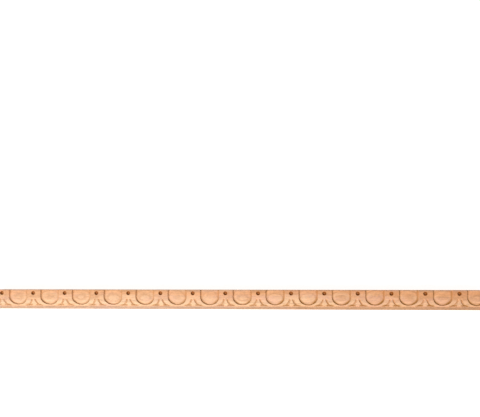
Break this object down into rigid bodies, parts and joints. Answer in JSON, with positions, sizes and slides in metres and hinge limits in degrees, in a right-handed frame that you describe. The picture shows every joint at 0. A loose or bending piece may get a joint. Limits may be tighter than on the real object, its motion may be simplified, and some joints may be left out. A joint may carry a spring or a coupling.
{
  "type": "carved moulding strip",
  "caption": "Narrow wooden moulding strip, flat behind, with an egg-and-dart pattern carved in its quarter-round face and a drilled eye between the eggs.",
  "frame": {"origin": "middle of the flat back, at mid length and mid width", "axes": "+X along the strip, +Y across it from its thin front edge to its thick back edge, +Z out of the carved face"},
  "size_m": [0.495, 0.02, 0.0095],
  "materials": {
    "beech": "bare, unfinished beech, machine carved and lightly sanded"
  },
  "bodies": {
    "root": {"egg_and_dart_strip": "beech"}
  },
  "joints": []
}
